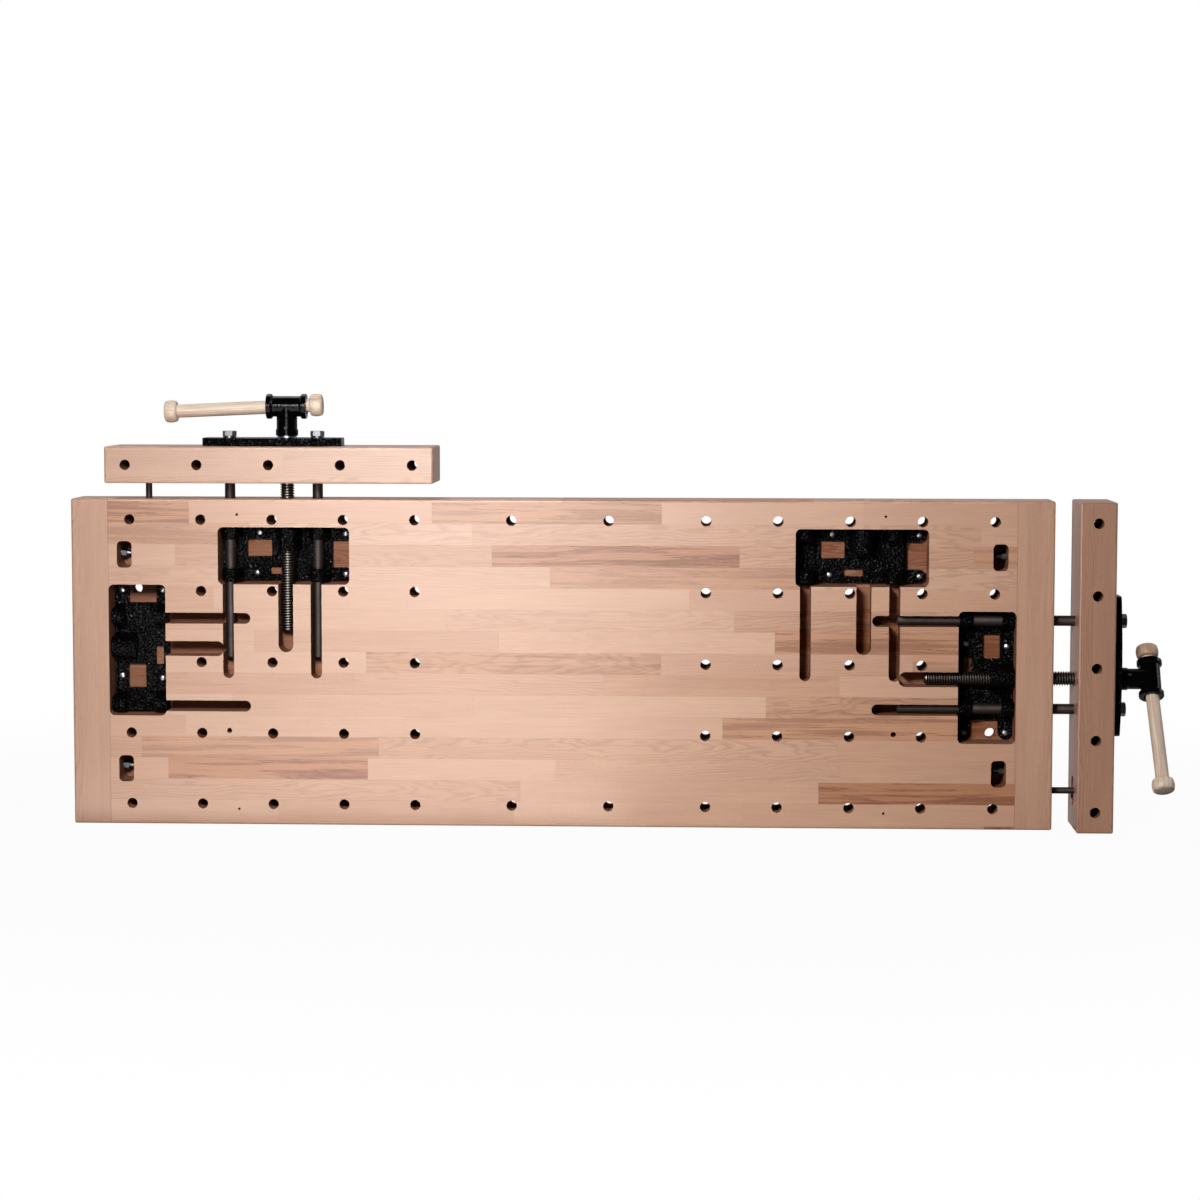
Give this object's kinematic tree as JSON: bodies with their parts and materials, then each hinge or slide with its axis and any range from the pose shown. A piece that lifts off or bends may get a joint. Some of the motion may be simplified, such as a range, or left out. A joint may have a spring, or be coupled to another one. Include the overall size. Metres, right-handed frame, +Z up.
{
  "type": "workbench top with vises",
  "caption": "Laminated wooden bench top with end caps, dog holes, screw vises on its front edge and right end, and spare vise bodies in the underside.",
  "frame": {"origin": "middle of the rear long edge of the top, halfway through its thickness, on the surface it stands on", "axes": "+X along the top towards the end vise, +Z up towards the front vise, +Y out of the working face; the underside faces -Y"},
  "size_m": [1.6839, 0.1717, 0.6649],
  "materials": {
    "panel_beech": "oiled, staves of differing tone",
    "cap_beech": "oiled",
    "jaw_beech": "oiled",
    "handle_wood": "smooth, pale",
    "black_casting": "black hammered paint",
    "steel_rod": "bright drawn",
    "screw_steel": "oiled thread",
    "zinc_fastener": "zinc plated",
    "black_screw": "blackened"
  },
  "bodies": {
    "top": {"top_panel": "panel_beech", "left_end_cap": "cap_beech", "right_end_cap": "cap_beech", "cap_bolts": "zinc_fastener", "cap_washers": "zinc_fastener", "cap_nuts": "zinc_fastener", "left_cap_spline": "cap_beech", "right_cap_spline": "cap_beech", "front_left_vise_body": "black_casting", "front_left_body_screws": "zinc_fastener", "front_right_vise_body": "black_casting", "front_right_body_screws": "zinc_fastener", "left_end_vise_body": "black_casting", "left_end_body_screws": "zinc_fastener", "right_end_vise_body": "black_casting", "right_end_body_screws": "zinc_fastener"},
    "front_jaw": {"front_jaw": "jaw_beech", "front_plate": "black_casting", "front_plate_screws": "black_screw", "front_rod_near_spare": "steel_rod", "front_rod_near_screw": "steel_rod", "front_rod_bolts": "zinc_fastener", "front_rod_lock_washers": "zinc_fastener", "front_guide_pin": "steel_rod", "front_guide_pin_flange": "zinc_fastener"},
    "front_screw": {"front_lead_screw": "screw_steel", "front_screw_collar": "steel_rod", "front_collar_pin": "steel_rod", "front_thrust_washer": "zinc_fastener", "front_hub": "black_casting", "front_hub_pin": "steel_rod"},
    "front_handle": {"front_handle_bar": "handle_wood", "front_handle_far_knob": "handle_wood", "front_handle_near_knob": "handle_wood"},
    "end_jaw": {"end_jaw": "jaw_beech", "end_plate": "black_casting", "end_plate_screws": "black_screw", "end_rod_near_spare": "steel_rod", "end_rod_near_screw": "steel_rod", "end_rod_bolts": "zinc_fastener", "end_rod_lock_washers": "zinc_fastener", "end_guide_pin": "steel_rod", "end_guide_pin_flange": "zinc_fastener"},
    "end_screw": {"end_lead_screw": "screw_steel", "end_screw_collar": "steel_rod", "end_collar_pin": "steel_rod", "end_thrust_washer": "zinc_fastener", "end_hub": "black_casting", "end_hub_pin": "steel_rod"},
    "end_handle": {"end_handle_bar": "handle_wood", "end_handle_far_knob": "handle_wood", "end_handle_near_knob": "handle_wood"}
  },
  "joints": [
    {"name": "front_jaw_slide", "type": "slide", "parent": "top", "child": "front_jaw", "axis": [0, 0, 1], "range_m": [-0.025, 0.1]},
    {"name": "front_screw_turn", "type": "hinge", "parent": "front_jaw", "child": "front_screw", "pos_m": [-0.4225, -0.015, 0.585], "axis": [0, 0, 1], "range_deg": [-2251, 9001]},
    {"name": "front_handle_slide", "type": "slide", "parent": "front_screw", "child": "front_handle", "axis": [-0.999, 0, -0.0454], "range_m": [-0.138, 0.005]},
    {"name": "end_jaw_slide", "type": "slide", "parent": "top", "child": "end_jaw", "axis": [1, 0, 0], "range_m": [-0.034, 0.091]},
    {"name": "end_screw_turn", "type": "hinge", "parent": "end_jaw", "child": "end_screw", "pos_m": [0.844, -0.015, 0.231], "axis": [1, 0, 0], "range_deg": [-3061, 8191]},
    {"name": "end_handle_slide", "type": "slide", "parent": "end_screw", "child": "end_handle", "axis": [0.0454, -0.5397, -0.8406], "range_m": [-0.138, 0.005]}
  ],
  "couplings": [
    {"joint": "front_screw_turn", "follows": "front_jaw_slide", "rad_per_m": 1570.8},
    {"joint": "end_screw_turn", "follows": "end_jaw_slide", "rad_per_m": 1570.8}
  ]
}
